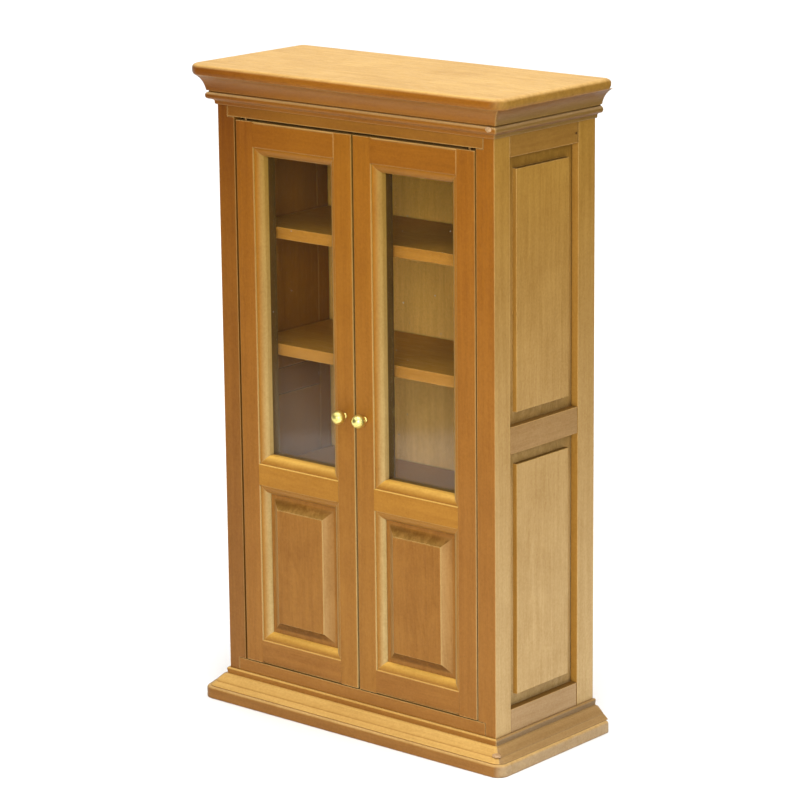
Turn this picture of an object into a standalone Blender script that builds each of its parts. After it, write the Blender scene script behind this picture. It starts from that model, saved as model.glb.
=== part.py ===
"""Miniature bookcase, a 1:12 dolls house cabinet with two glazed and panelled doors.

The cabinet stands on the floor at z = 0 and is centred on the middle of its bounding box.
Its doors face -Y, and +X is the right-hand side of someone looking at the doors.
Depths are measured backwards from the front face of the cabinet, and projections outwards.
"""

import math

import bmesh
import bpy
from mathutils import Vector

MM = 0.001

# ---------------------------------------------------------------- driving sizes
BODY_WIDTH = 95.0 * MM
BODY_DEPTH = 42.0 * MM
OVERALL_HEIGHT = 178.0 * MM
JOINT_GAP = 0.1 * MM            # glued wood-to-wood joints

TOP_BOARD_THICKNESS = 3.0 * MM
TOP_BOARD_SETBACK = 0.8 * MM    # its back edge stops just short of the back of the posts
BOARD_ARRIS = 0.5 * MM          # rounded edges of the top board; the base board's are half that

CORNICE_PROJECTION = 5.0 * MM
CORNICE_HEIGHT = 8.0 * MM
COVE_HEIGHT = 4.4 * MM
COVE_TOP_PROJECTION = 4.4 * MM
COVE_FOOT_PROJECTION = 1.4 * MM
BEAD_RADIUS = 1.1 * MM
BEAD_CENTRE_BELOW_COVE = 1.3 * MM
BEAD_CENTRE_PROJECTION = 1.1 * MM
FILLET_PROJECTION = 0.4 * MM
FILLET_HEIGHT = 0.9 * MM

BASE_BOARD_THICKNESS = 3.4 * MM
PLINTH_PROJECTION = 5.4 * MM
PLINTH_TOP = 8.6 * MM
PLINTH_SLOPE_FOOT = 5.2 * MM    # projection of the slope at the base board
PLINTH_SLOPE_HEAD = 1.8 * MM    # projection of the slope at the groove
PLINTH_SLOPE_HEIGHT = 3.7 * MM
PLINTH_SLOPE_BULGE = 0.85       # 1 is a straight slope, less is rounder
PLINTH_BEAD_PROJECTION = 1.1 * MM
PLINTH_BEAD_HEIGHT = 1.1 * MM
PLAN_CORNER_RADIUS = 2.8 * MM   # rounded front corners of the top and base boards
BACK_CORNER_RADIUS = 1.2 * MM

FRONT_POST_WIDTH = 5.9 * MM
FRONT_POST_DEPTH = 6.3 * MM
POST_NOTCH = 2.4 * MM           # the face frame rails lap this far into the posts
REAR_POST_DEPTH = 7.2 * MM
SIDE_THICKNESS = 4.2 * MM
FACE_RAIL_THICKNESS = 6.0 * MM

DOORWAY_BOTTOM = 11.9 * MM
DOORWAY_TOP = 164.1 * MM

SIDE_LOWER_OPENING = (14.8 * MM, 84.0 * MM)
SIDE_UPPER_OPENING = (91.2 * MM, 161.4 * MM)
SIDE_PANEL_RECESS = 2.3 * MM
SIDE_FIELD_DEPTH = 0.5 * MM
SIDE_FIELD_STEP = 0.7 * MM
SIDE_BEVEL_WIDTH = 3.3 * MM

BACK_PANEL_THICKNESS = 2.8 * MM
BACK_REBATE = 1.2 * MM
BOARD_THICKNESS = 3.0 * MM
SHELF_THICKNESS = 3.2 * MM
SHELF_TOPS = {"shelf_lower": 65.0 * MM, "shelf_middle": 101.7 * MM, "shelf_upper": 134.0 * MM}
SHELF_SETBACK = 7.4 * MM

DOOR_THICKNESS = 6.0 * MM
DOOR_SIDE_GAP = 0.45 * MM
DOOR_MEETING_GAP = 0.5 * MM
DOOR_TOP_GAP = 0.8 * MM
DOOR_BOTTOM_GAP = 0.3 * MM
DOOR_ARRIS = 0.35 * MM          # rounded front edges of the door stiles
STILE_FLAT = 6.1 * MM
DOOR_BOTTOM_RAIL = 6.5 * MM
DOOR_LOCK_RAIL = (63.2 * MM, 69.1 * MM)
DOOR_TOP_RAIL_LOWER_EDGE = 156.5 * MM
STICKING_WIDTH = 2.5 * MM
STICKING_DEPTH = 1.8 * MM
GLASS_GROOVE = (3.5 * MM, 4.4 * MM)
PANEL_GROOVE = (2.0 * MM, 3.0 * MM)
GROOVE_DEEP = 1.0 * MM
GLASS_CLEARANCE = 0.1 * MM
DOOR_FIELD_INSET = 6.1 * MM
DOOR_BEVEL_WIDTH = 2.4 * MM
DOOR_FIELD_DEPTH = 0.1 * MM
DOOR_FIELD_STEP = 0.3 * MM

PIN_RADIUS = 0.5 * MM
PIN_RUNNING_CLEARANCE = 0.08 * MM
PIN_LENGTH = 6.0 * MM
PIN_FROM_EDGE = 2.6 * MM        # pin axis behind the door's hinge edge
PIN_DEPTH = 1.4 * MM            # pin axis behind the door's front face
PIN_IN_DOOR = 2.6 * MM
CUTTER_OVERRUN = 1.0 * MM       # how far a bore's cutter runs past the surface it opens

KNOB_BALL_RADIUS = 1.9 * MM
KNOB_BALL_CENTRE = 3.1 * MM     # in front of the door
KNOB_SHANK_RADIUS = 0.5 * MM
KNOB_SHANK_LENGTH = 3.0 * MM
KNOB_COLLAR_RADIUS = 0.95 * MM
KNOB_COLLAR_THICKNESS = 0.45 * MM
KNOB_NECK_RADIUS = 0.6 * MM
KNOB_NECK_END = 0.8 * MM        # in front of the door
KNOB_HEIGHT = 87.7 * MM
KNOB_FROM_MEETING_EDGE = 3.3 * MM

ROUND_SEGMENTS = 24
CORNER_SEGMENTS = 4
CURVE_POINTS = 5

# ---------------------------------------------------------------- derived places
HALF_BODY = BODY_WIDTH / 2
FRONT_Y = -(BODY_DEPTH + PLINTH_PROJECTION) / 2 + PLINTH_PROJECTION
BACK_Y = FRONT_Y + BODY_DEPTH
TOP_BOARD_UNDERSIDE = OVERALL_HEIGHT - TOP_BOARD_THICKNESS
FRAME_TOP = TOP_BOARD_UNDERSIDE - JOINT_GAP
FRAME_BOTTOM = BASE_BOARD_THICKNESS + JOINT_GAP
CORNICE_BOTTOM = TOP_BOARD_UNDERSIDE - CORNICE_HEIGHT
DOORWAY_HALF_WIDTH = HALF_BODY - FRONT_POST_WIDTH
RAIL_HALF_WIDTH = DOORWAY_HALF_WIDTH + POST_NOTCH - JOINT_GAP
INSIDE_HALF_WIDTH = HALF_BODY - SIDE_THICKNESS
REAR_POST_START = BODY_DEPTH - REAR_POST_DEPTH
BACK_PANEL_START = BODY_DEPTH - BACK_PANEL_THICKNESS
DOOR_WIDTH = DOORWAY_HALF_WIDTH - DOOR_SIDE_GAP - DOOR_MEETING_GAP / 2
DOOR_BOTTOM = DOORWAY_BOTTOM + DOOR_BOTTOM_GAP
DOOR_TOP = DOORWAY_TOP - DOOR_TOP_GAP

# ---------------------------------------------------------------- finishes
# Each finish is a linear base colour, a roughness and a metallic value.
FRONT_WOOD = ((0.37, 0.145, 0.030), 0.42, 0.0)
SIDE_WOOD = ((0.46, 0.24, 0.085), 0.45, 0.0)
TOP_WOOD = ((0.56, 0.27, 0.085), 0.38, 0.0)
MOULDING_WOOD = ((0.42, 0.18, 0.045), 0.42, 0.0)
INSIDE_WOOD = ((0.30, 0.14, 0.045), 0.60, 0.0)
BRASS = ((0.75, 0.55, 0.20), 0.18, 1.0)
ACRYLIC = ((0.80, 0.84, 0.80), 0.08, 0.0)


# ---------------------------------------------------------------- building tools
def remove_everything():
    """Start from an empty scene."""
    for existing in list(bpy.data.objects):
        bpy.data.objects.remove(existing, do_unlink=True)


def finish_material(name, finish):
    """A plain Principled material for one piece."""
    colour, roughness, metallic = finish
    material = bpy.data.materials.new(name + "_finish")
    material.use_nodes = True
    shader = material.node_tree.nodes["Principled BSDF"]
    shader.inputs["Base Color"].default_value = (*colour, 1.0)
    shader.inputs["Roughness"].default_value = roughness
    shader.inputs["Metallic"].default_value = metallic
    material.diffuse_color = (*colour, 1.0)
    return material


def add_piece(name, bm, finish, location=(0, 0, 0), turn=0.0, parent=None, smooth=False):
    """Turn a bmesh into the named object, with its faces pointing out."""
    bmesh.ops.remove_doubles(bm, verts=bm.verts, dist=0.001 * MM)
    bmesh.ops.recalc_face_normals(bm, faces=bm.faces)
    mesh = bpy.data.meshes.new(name)
    bm.to_mesh(mesh)
    bm.free()
    mesh.materials.append(finish_material(name, finish))
    if smooth:
        mesh.shade_smooth()
        mesh.set_sharp_from_angle(angle=math.radians(35))
    piece = bpy.data.objects.new(name, mesh)
    piece.location = location
    piece.rotation_euler.z = turn
    piece.parent = parent
    bpy.context.collection.objects.link(piece)
    return piece


def loft(rings):
    """A closed solid through rings of equally many points, capped at both ends."""
    bm = bmesh.new()
    loops = [[bm.verts.new(point) for point in ring] for ring in rings]
    count = len(rings[0])
    for near, far in zip(loops, loops[1:]):
        for i in range(count):
            j = (i + 1) % count
            bm.faces.new((near[i], near[j], far[j], far[i]))
    bm.faces.new(loops[0])
    bm.faces.new(loops[-1])
    return bm


def box(low, high):
    """A box between two opposite corners."""
    corners = [(low[0], low[1]), (high[0], low[1]), (high[0], high[1]), (low[0], high[1])]
    return loft([[Vector((x, y, z)) for x, y in corners] for z in (low[2], high[2])])


def place(x, depth, z):
    """A point of the cabinet from its depth behind the front face."""
    return Vector((x, FRONT_Y + depth, z))


def add_board(name, finish, x_range, depth_range, z_range):
    """A plain board, with its origin at its lower left front corner."""
    corner = place(x_range[0], depth_range[0], z_range[0])
    far_corner = place(x_range[1], depth_range[1], z_range[1])
    return add_piece(name, box(Vector((0, 0, 0)), far_corner - corner), finish, corner)


def mirrored(x_low, x_high, side):
    """An x range on the right-hand side, or its mirror image on the left."""
    return (x_low, x_high) if side > 0 else (-x_high, -x_low)


def add_cutter(name, bm, target, location=(0, 0, 0), parent=None):
    """Cut a closed shape out of a piece, and keep the shape as a hidden cutter."""
    cutter = add_piece(name, bm, INSIDE_WOOD, location, parent=parent)
    cutter.hide_render = True
    cutter.display_type = "WIRE"
    modifier = target.modifiers.new(name, "BOOLEAN")
    modifier.operation = "DIFFERENCE"
    modifier.solver = "EXACT"
    modifier.object = cutter


def cylinder(radius, length, segments=ROUND_SEGMENTS):
    """An upright cylinder whose lower end is centred on the origin."""
    angles = [math.tau * i / segments for i in range(segments)]
    circle = [(radius * math.cos(a), radius * math.sin(a)) for a in angles]
    return loft([[Vector((x, y, z)) for x, y in circle] for z in (0.0, length)])


# ---------------------------------------------------------------- boards and mouldings
def corner_point(projection, z, angle, side):
    """A point of an outline that stands out from the body, at a rounded front corner.

    The angle runs from 0 where the outline faces forwards to 90 degrees where it faces sideways.
    """
    radius = PLAN_CORNER_RADIUS * max(projection, 0.0) / PLINTH_PROJECTION
    x = HALF_BODY + projection - radius + radius * math.sin(angle)
    y = FRONT_Y - projection + radius - radius * math.cos(angle)
    return Vector((side * x, y, z))


def board_outline(projection, z, back_y):
    """The whole plan outline of the top board or the base board at one height."""
    quarter = [math.pi / 2 * i / CORNER_SEGMENTS for i in range(CORNER_SEGMENTS + 1)]
    half_width = HALF_BODY + projection
    radius = BACK_CORNER_RADIUS
    points = [corner_point(projection, z, a, 1) for a in quarter]
    for a in quarter:
        x = half_width - radius + radius * math.cos(a)
        points.append(Vector((x, back_y - radius + radius * math.sin(a), z)))
    for a in reversed(quarter):
        x = half_width - radius + radius * math.cos(a)
        points.append(Vector((-x, back_y - radius + radius * math.sin(a), z)))
    points += [corner_point(projection, z, a, -1) for a in reversed(quarter)]
    return points


def add_top_and_base_boards():
    """The two full-size boards, with softened edges."""
    soft = BOARD_ARRIS
    top_edges = [(CORNICE_PROJECTION - soft, TOP_BOARD_UNDERSIDE),
                 (CORNICE_PROJECTION, TOP_BOARD_UNDERSIDE + soft),
                 (CORNICE_PROJECTION, OVERALL_HEIGHT - soft),
                 (CORNICE_PROJECTION - soft, OVERALL_HEIGHT)]
    back_y = BACK_Y - TOP_BOARD_SETBACK
    rings = [board_outline(projection, z, back_y - CORNICE_PROJECTION + projection)
             for projection, z in top_edges]
    add_piece("top_board", loft(rings), TOP_WOOD)
    base_edges = [(PLINTH_PROJECTION, 0.0),
                  (PLINTH_PROJECTION, BASE_BOARD_THICKNESS - soft / 2),
                  (PLINTH_PROJECTION - soft / 2, BASE_BOARD_THICKNESS)]
    add_piece("base_board", loft([board_outline(s, z, BACK_Y) for s, z in base_edges]), MOULDING_WOOD)


def add_mitred_moulding(name, profile):
    """Front, left and right lengths of a moulding that runs round the body.

    The profile is a closed list of (projection, height) points.
    """
    half_turn = [math.pi / 4 * i / 2 for i in range(3)]
    front = [[corner_point(s, z, a, -1) for s, z in profile] for a in reversed(half_turn)]
    front += [[corner_point(s, z, a, 1) for s, z in profile] for a in half_turn]
    add_piece(name + "_front", loft(front), MOULDING_WOOD, smooth=True)
    for side, word in ((-1, "left"), (1, "right")):
        mitre_gap = Vector((0, JOINT_GAP, 0))
        angles = [math.pi / 2 - a for a in reversed(half_turn)]
        rings = [[corner_point(s, z, a, side) + mitre_gap for s, z in profile] for a in angles]
        rings.append([Vector((side * (HALF_BODY + s), BACK_Y, z)) for s, z in profile])
        add_piece(name + "_" + word, loft(rings), MOULDING_WOOD, smooth=True)


def cornice_profile():
    """A cove under the top board, then a bead, then a narrow fillet."""
    top = TOP_BOARD_UNDERSIDE - JOINT_GAP
    cove_low = TOP_BOARD_UNDERSIDE - COVE_HEIGHT
    cove = []
    for i in range(CURVE_POINTS):
        t = i / (CURVE_POINTS - 1)
        hollow = (COVE_TOP_PROJECTION - COVE_FOOT_PROJECTION) * (1 - t) ** 1.5
        cove.append((COVE_FOOT_PROJECTION + hollow, top + (cove_low - top) * t))
    bead_centre = cove_low - BEAD_CENTRE_BELOW_COVE
    bead = []
    for i in range(CURVE_POINTS):
        a = math.radians(70 - 140 * i / (CURVE_POINTS - 1))
        bead.append((BEAD_CENTRE_PROJECTION + BEAD_RADIUS * math.cos(a),
                     bead_centre + BEAD_RADIUS * math.sin(a)))
    fillet = [(FILLET_PROJECTION, CORNICE_BOTTOM + FILLET_HEIGHT), (FILLET_PROJECTION, CORNICE_BOTTOM)]
    return cove + bead + fillet + [(JOINT_GAP, CORNICE_BOTTOM), (JOINT_GAP, top)]


def plinth_profile():
    """A bead at the top, a groove, and a slope that rounds over to the edge of the base board."""
    bottom = FRAME_BOTTOM
    slope = []
    for i in range(CURVE_POINTS):
        t = i / (CURVE_POINTS - 1)
        slope.append((PLINTH_SLOPE_FOOT + (PLINTH_SLOPE_HEAD - PLINTH_SLOPE_FOOT) * t,
                      bottom + PLINTH_SLOPE_HEIGHT * t ** PLINTH_SLOPE_BULGE))
    proud = PLINTH_BEAD_PROJECTION
    bead = [(proud, PLINTH_TOP - PLINTH_BEAD_HEIGHT),
            (proud * 0.9, PLINTH_TOP - PLINTH_BEAD_HEIGHT / 2),
            (proud * 0.5, PLINTH_TOP)]
    return [(JOINT_GAP, bottom)] + slope + bead + [(JOINT_GAP, PLINTH_TOP)]


# ---------------------------------------------------------------- carcass
def add_front_post(side, word):
    """A square corner post, notched at both ends for the face frame rails."""
    outer = HALF_BODY
    inner = DOORWAY_HALF_WIDTH
    notch = inner + POST_NOTCH
    outline = [(notch, FRAME_BOTTOM), (outer, FRAME_BOTTOM), (outer, FRAME_TOP), (notch, FRAME_TOP),
               (notch, DOORWAY_TOP - JOINT_GAP), (inner, DOORWAY_TOP - JOINT_GAP),
               (inner, DOORWAY_BOTTOM + JOINT_GAP), (notch, DOORWAY_BOTTOM + JOINT_GAP)]
    rings = [[Vector((side * (x - outer), depth, z)) for x, z in outline]
             for depth in (0.0, FRONT_POST_DEPTH)]
    post = add_piece("front_post_" + word, loft(rings), FRONT_WOOD, place(side * outer, 0.0, 0.0))
    add_panel_groove(post, side, FRONT_POST_DEPTH - GROOVE_DEEP, FRONT_POST_DEPTH + GROOVE_DEEP)


def add_rear_post(side, word):
    """A rear corner post, rebated at its inner back edge for the back panel."""
    outer = HALF_BODY
    inner = INSIDE_HALF_WIDTH
    outline = [(inner, REAR_POST_START), (outer, REAR_POST_START), (outer, BODY_DEPTH),
               (inner + BACK_REBATE, BODY_DEPTH), (inner + BACK_REBATE, BACK_PANEL_START - JOINT_GAP),
               (inner, BACK_PANEL_START - JOINT_GAP)]
    rings = [[Vector((side * (x - outer), depth, z)) for x, depth in outline]
             for z in (FRAME_BOTTOM, FRAME_TOP)]
    post = add_piece("rear_post_" + word, loft(rings), SIDE_WOOD, place(side * outer, 0.0, 0.0))
    add_panel_groove(post, side, REAR_POST_START - GROOVE_DEEP, REAR_POST_START + GROOVE_DEEP)


def add_panel_groove(post, side, start_depth, end_depth):
    """The groove in a post that holds the tongues of the side panels."""
    x_range = mirrored(HALF_BODY - SIDE_PANEL_RECESS - GROOVE_DEEP - JOINT_GAP,
                       HALF_BODY - SIDE_PANEL_RECESS + JOINT_GAP, side)
    low = place(x_range[0], start_depth, SIDE_LOWER_OPENING[0] - GROOVE_DEEP)
    high = place(x_range[1], end_depth, SIDE_UPPER_OPENING[1] + GROOVE_DEEP)
    add_cutter("groove_" + post.name, box(low, high), post)


def add_side_rails(side, word):
    """Three rails between the posts, grooved along the edges that hold a panel."""
    spans = {"side_bottom_rail_": (FRAME_BOTTOM, SIDE_LOWER_OPENING[0]),
             "side_middle_rail_": (SIDE_LOWER_OPENING[1], SIDE_UPPER_OPENING[0]),
             "side_top_rail_": (SIDE_UPPER_OPENING[1], FRAME_TOP)}
    inner = SIDE_THICKNESS
    groove = (SIDE_PANEL_RECESS - JOINT_GAP, SIDE_PANEL_RECESS + GROOVE_DEEP + JOINT_GAP)
    for stem, (low, high) in spans.items():
        outline = [(0.0, low)]
        if low != FRAME_BOTTOM:
            outline += [(groove[0], low), (groove[0], low + GROOVE_DEEP),
                        (groove[1], low + GROOVE_DEEP), (groove[1], low)]
        outline += [(inner, low), (inner, high)]
        if high != FRAME_TOP:
            outline += [(groove[1], high), (groove[1], high - GROOVE_DEEP),
                        (groove[0], high - GROOVE_DEEP), (groove[0], high)]
        outline += [(0.0, high)]
        ends = (FRONT_POST_DEPTH + JOINT_GAP, REAR_POST_START - JOINT_GAP)
        rings = [[Vector((-side * inset, depth, z)) for inset, z in outline] for depth in ends]
        add_piece(stem + word, loft(rings), SIDE_WOOD, place(side * HALF_BODY, 0.0, 0.0))


def raised_panel(width, height, steps):
    """A raised and fielded panel in the XZ plane, centred on the origin and facing -Y.

    Each step is an inset from the panel's edge and a depth behind the frame's face.
    """
    rings = []
    for inset, depth in steps:
        x = width / 2 - inset
        z = height / 2 - inset
        rings.append([Vector((-x, depth, -z)), Vector((x, depth, -z)),
                      Vector((x, depth, z)), Vector((-x, depth, z))])
    return loft(rings)


def add_side_panels(side, word):
    """The two raised panels of one side, flush inside and tongued into the frame."""
    tongue = GROOVE_DEEP - JOINT_GAP
    recess = SIDE_PANEL_RECESS
    steps = [(tongue + JOINT_GAP * 2, SIDE_THICKNESS), (tongue + JOINT_GAP * 2, recess + GROOVE_DEEP),
             (0.0, recess + GROOVE_DEEP), (0.0, recess), (tongue + JOINT_GAP * 2, recess),
             (tongue + SIDE_BEVEL_WIDTH, SIDE_FIELD_DEPTH + SIDE_FIELD_STEP),
             (tongue + SIDE_BEVEL_WIDTH, SIDE_FIELD_DEPTH)]
    opening_depth = (FRONT_POST_DEPTH, REAR_POST_START)
    width = opening_depth[1] - opening_depth[0] + 2 * tongue
    for stem, (low, high) in (("side_lower_panel_", SIDE_LOWER_OPENING),
                              ("side_upper_panel_", SIDE_UPPER_OPENING)):
        bm = raised_panel(width, high - low + 2 * tongue, steps)
        centre = place(side * HALF_BODY, sum(opening_depth) / 2, (low + high) / 2)
        add_piece(stem + word, bm, SIDE_WOOD, centre, turn=side * math.pi / 2)


def add_carcass():
    """Posts, sides, face frame, back, floor, ceiling and shelves."""
    for side, word in ((-1, "left"), (1, "right")):
        add_front_post(side, word)
        add_rear_post(side, word)
        add_side_rails(side, word)
        add_side_panels(side, word)
    face_x = (-RAIL_HALF_WIDTH, RAIL_HALF_WIDTH)
    face_depth = (0.0, FACE_RAIL_THICKNESS)
    top_rail = add_board("face_top_rail", FRONT_WOOD, face_x, face_depth, (DOORWAY_TOP, FRAME_TOP))
    bottom_rail = add_board("face_bottom_rail", FRONT_WOOD, face_x, face_depth,
                            (FRAME_BOTTOM, DOORWAY_BOTTOM))
    inside = INSIDE_HALF_WIDTH - JOINT_GAP
    inside_depth = (FACE_RAIL_THICKNESS + JOINT_GAP, BACK_PANEL_START - 2 * JOINT_GAP)
    # Between the front posts, which are wider than the sides, the boards stand behind the posts.
    board_depth = (FRONT_POST_DEPTH + JOINT_GAP, inside_depth[1])
    add_board("floor_board", INSIDE_WOOD, (-inside, inside), board_depth,
              (DOORWAY_BOTTOM - BOARD_THICKNESS, DOORWAY_BOTTOM))
    add_board("ceiling_board", INSIDE_WOOD, (-inside, inside), board_depth,
              (DOORWAY_TOP, DOORWAY_TOP + BOARD_THICKNESS))
    for name, top in SHELF_TOPS.items():
        add_board(name, INSIDE_WOOD, (-inside, inside), (SHELF_SETBACK, inside_depth[1]),
                  (top - SHELF_THICKNESS, top))
    back_half = INSIDE_HALF_WIDTH + BACK_REBATE - JOINT_GAP
    add_board("back_panel", INSIDE_WOOD, (-back_half, back_half), (BACK_PANEL_START, BODY_DEPTH),
              (FRAME_BOTTOM, FRAME_TOP))
    return top_rail, bottom_rail


# ---------------------------------------------------------------- doors
def sticking_outline(projected, groove):
    """The moulded and grooved inner edge of a door member, from its front to its back.

    Each point is (projection beyond the flat, depth). Where the edge isn't moulded, the same
    points lie on the flat's own edge.
    """
    groove_floor = STICKING_WIDTH - GROOVE_DEEP
    points = [(0.0, 0.0), (STICKING_WIDTH, STICKING_DEPTH), (STICKING_WIDTH, groove[0]),
              (groove_floor, groove[0]), (groove_floor, groove[1]), (STICKING_WIDTH, groove[1]),
              (STICKING_WIDTH, DOOR_THICKNESS)]
    return [(w if projected else 0.0, depth) for w, depth in points]


def door_stile(openings):
    """A door stile along Z, its outer edge at x = 0 and its moulded edge towards +X.

    Each opening is (low, high, groove). The moulding ends in mitres at the opening's corners.
    """
    arris = DOOR_ARRIS
    outer_edge = [(0.0, DOOR_THICKNESS), (0.0, arris), (arris * 0.3, arris * 0.3), (arris, 0.0)]

    def ring(z, groove, projected, mitre):
        inner = sticking_outline(projected, groove)
        points = [Vector((x, depth, z)) for x, depth in outer_edge]
        return points + [Vector((STILE_FLAT + w, depth, z + mitre * w)) for w, depth in inner]

    rings = [ring(DOOR_BOTTOM, openings[0][2], False, 0)]
    for low, high, groove in openings:
        rings += [ring(low, groove, False, 0), ring(low, groove, True, 1),
                  ring(high, groove, True, -1), ring(high, groove, False, 0)]
    rings.append(ring(DOOR_TOP, openings[-1][2], False, 0))
    return loft(rings)


def door_rail(low, high, groove_below, groove_above):
    """A door rail along X between the stiles, moulded on each edge that has a groove."""
    start = STILE_FLAT + JOINT_GAP
    end = DOOR_WIDTH - start

    def ring(x, projected, mitre):
        edges = []
        for edge_z, groove, outwards in ((low, groove_below, -1), (high, groove_above, 1)):
            if groove is None:
                points = [(0.0, 0.0), (0.0, DOOR_THICKNESS)]
            else:
                points = sticking_outline(projected, groove)
            edge = [Vector((x + mitre * w, depth, edge_z + outwards * w)) for w, depth in points]
            edges.append(edge if outwards > 0 else edge[::-1])
        return edges[0] + edges[1]

    return loft([ring(start, False, 0), ring(start, True, 1), ring(end, True, -1), ring(end, False, 0)])


def flip_to_side(bm, side, offset):
    """Move a piece built from the hinge edge into the pivot's frame, mirrored for the right door."""
    for vert in bm.verts:
        vert.co.x = -side * (vert.co.x - offset)
        vert.co.y -= PIN_DEPTH
    return bm


def knob():
    """A turned ball knob along -Y, with its shank behind the door's face."""
    profile = [(KNOB_SHANK_LENGTH, KNOB_SHANK_RADIUS), (0.0, KNOB_SHANK_RADIUS),
               (-JOINT_GAP, KNOB_COLLAR_RADIUS), (-KNOB_COLLAR_THICKNESS, KNOB_COLLAR_RADIUS),
               (-KNOB_NECK_END, KNOB_NECK_RADIUS)]
    for degrees in range(40, 180, 20):
        angle = math.radians(degrees)
        profile.append((-KNOB_BALL_CENTRE + KNOB_BALL_RADIUS * math.cos(angle),
                        KNOB_BALL_RADIUS * math.sin(angle)))
    profile.append((-KNOB_BALL_CENTRE - KNOB_BALL_RADIUS, KNOB_BALL_RADIUS * 0.1))
    rings = []
    for y, radius in profile:
        angles = [math.tau * i / ROUND_SEGMENTS for i in range(ROUND_SEGMENTS)]
        rings.append([Vector((radius * math.cos(a), y, radius * math.sin(a))) for a in angles])
    return loft(rings)


def bore_along_y(radius, length):
    """A cylinder along +Y from the origin."""
    bm = cylinder(radius, length)
    for vert in bm.verts:
        vert.co = Vector((vert.co.x, vert.co.z, vert.co.y))
    return bm


def add_door(side, word):
    """One door, parented to an empty on its pivot pins' axis."""
    pivot_x = side * (DOORWAY_HALF_WIDTH - DOOR_SIDE_GAP - PIN_FROM_EDGE)
    pivot = bpy.data.objects.new(word + "_door_pivot", None)
    pivot.location = place(pivot_x, PIN_DEPTH, 0.0)
    bpy.context.collection.objects.link(pivot)
    stem = word + "_door_"
    openings = [(DOOR_BOTTOM + DOOR_BOTTOM_RAIL, DOOR_LOCK_RAIL[0], PANEL_GROOVE),
                (DOOR_LOCK_RAIL[1], DOOR_TOP_RAIL_LOWER_EDGE, GLASS_GROOVE)]

    def add(name, bm, finish=FRONT_WOOD):
        return add_piece(name, flip_to_side(bm, side, PIN_FROM_EDGE), finish, parent=pivot)

    hinge_stile = add(stem + "hinge_stile", door_stile(openings))
    meeting = door_stile(openings)
    for vert in meeting.verts:
        vert.co.x = DOOR_WIDTH - vert.co.x
    meeting_stile = add(stem + "meeting_stile", meeting)
    (panel_low, panel_high, _), (glass_low, glass_high, _) = openings
    add(stem + "bottom_rail", door_rail(DOOR_BOTTOM, panel_low, None, PANEL_GROOVE))
    add(stem + "lock_rail", door_rail(panel_high, glass_low, PANEL_GROOVE, GLASS_GROOVE))
    add(stem + "top_rail", door_rail(glass_high, DOOR_TOP, GLASS_GROOVE, None))

    hidden = STICKING_WIDTH - GROOVE_DEEP + GLASS_CLEARANCE
    half_gap = JOINT_GAP / 2
    pane_low = Vector((STILE_FLAT + hidden, GLASS_GROOVE[0] + half_gap, glass_low + hidden))
    pane_high = Vector((DOOR_WIDTH - STILE_FLAT - hidden, GLASS_GROOVE[1] - half_gap,
                        glass_high - hidden))
    add(stem + "glass", box(pane_low, pane_high), ACRYLIC)

    tongue_face = PANEL_GROOVE[0] + half_gap
    field = DOOR_FIELD_INSET - hidden
    steps = [(0.0, PANEL_GROOVE[1] - half_gap), (0.0, tongue_face),
             (field - DOOR_BEVEL_WIDTH, tongue_face),
             (field, DOOR_FIELD_DEPTH + DOOR_FIELD_STEP), (field, DOOR_FIELD_DEPTH)]
    panel_width = DOOR_WIDTH - 2 * STILE_FLAT - 2 * hidden
    panel = raised_panel(panel_width, panel_high - panel_low - 2 * hidden, steps)
    centre = Vector((DOOR_WIDTH / 2, 0.0, (panel_low + panel_high) / 2))
    for vert in panel.verts:
        vert.co += centre
    add(stem + "panel", panel)

    bore_radius = PIN_RADIUS + PIN_RUNNING_CLEARANCE
    bore_length = PIN_IN_DOOR + CUTTER_OVERRUN
    for end, start in (("bottom", DOOR_BOTTOM - CUTTER_OVERRUN), ("top", DOOR_TOP - PIN_IN_DOOR)):
        bore = cylinder(bore_radius, bore_length)
        add_cutter(stem + end + "_bore", bore, hinge_stile, Vector((0, 0, start)), pivot)

    knob_x = -side * (DOOR_WIDTH - KNOB_FROM_MEETING_EDGE - PIN_FROM_EDGE)
    knob_place = Vector((knob_x, -PIN_DEPTH, KNOB_HEIGHT))
    add_piece(word + "_knob", knob(), BRASS, knob_place, parent=pivot, smooth=True)
    knob_bore = bore_along_y(KNOB_SHANK_RADIUS + JOINT_GAP, KNOB_SHANK_LENGTH + CUTTER_OVERRUN)
    add_cutter(word + "_knob_bore", knob_bore, meeting_stile,
               knob_place - Vector((0, CUTTER_OVERRUN / 2, 0)), pivot)
    return pivot.location


def add_pins(word, pivot, top_rail, bottom_rail):
    """The two pivot pins of one door, pressed into the face frame rails."""
    bottom_start = DOOR_BOTTOM + PIN_IN_DOOR - PIN_LENGTH - 2 * JOINT_GAP
    top_start = DOOR_TOP - PIN_IN_DOOR + 2 * JOINT_GAP
    for end, start, rail in (("bottom", bottom_start, bottom_rail), ("top", top_start, top_rail)):
        where = Vector((pivot.x, pivot.y, start))
        add_piece(word + "_pin_" + end, cylinder(PIN_RADIUS, PIN_LENGTH), BRASS, where, smooth=True)
        bore = cylinder(PIN_RADIUS + JOINT_GAP / 2, PIN_LENGTH + 2 * JOINT_GAP)
        add_cutter(word + "_pin_bore_" + end, bore, rail, where - Vector((0, 0, JOINT_GAP)))


def main():
    remove_everything()
    add_top_and_base_boards()
    add_mitred_moulding("cornice", cornice_profile())
    add_mitred_moulding("plinth", plinth_profile())
    top_rail, bottom_rail = add_carcass()
    for side, word in ((-1, "left"), (1, "right")):
        pivot = add_door(side, word)
        add_pins(word, pivot, top_rail, bottom_rail)


main()
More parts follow.
